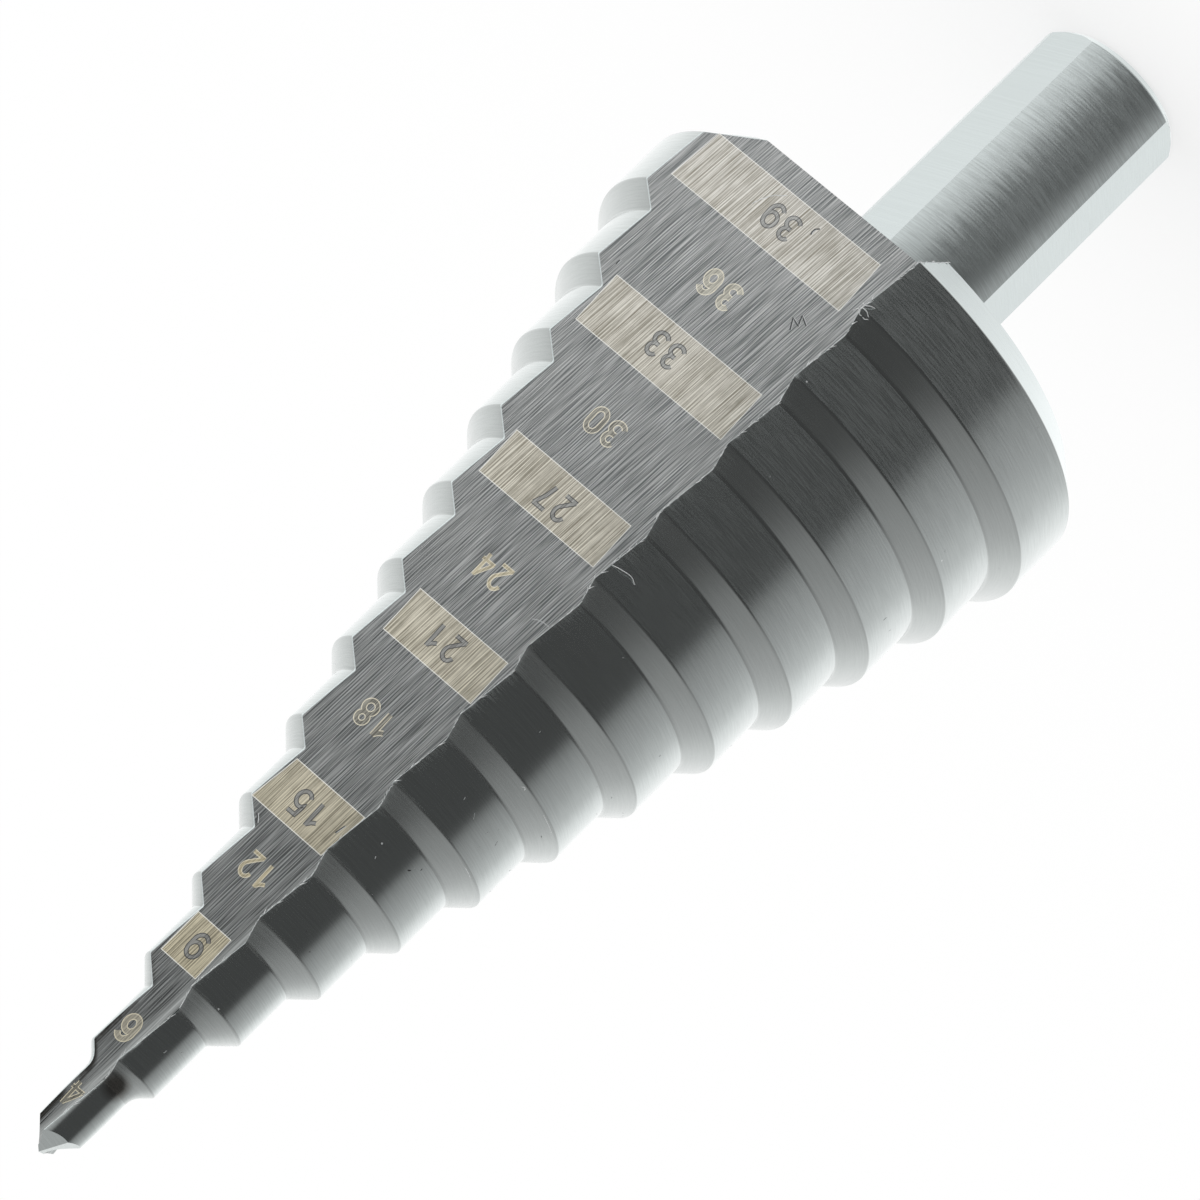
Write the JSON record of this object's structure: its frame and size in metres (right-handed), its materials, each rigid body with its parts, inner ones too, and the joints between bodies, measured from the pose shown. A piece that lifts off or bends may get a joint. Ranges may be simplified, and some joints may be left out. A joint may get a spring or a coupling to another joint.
{
  "type": "step drill",
  "caption": "Cone-shaped drill with bevelled cutting steps, straight flutes, a drill point and a round shank with ground flats.",
  "frame": {"origin": "centre of the shank's end face, on the drill's axis", "axes": "+Z along the drill's axis, from the shank to the tip; the cutting edges of the steps lie close to the plane X = 0"},
  "size_m": [0.0386, 0.039, 0.106],
  "materials": {
    "ground_tool_steel": "satin"
  },
  "bodies": {
    "root": {"step_drill": "ground_tool_steel"}
  },
  "joints": []
}
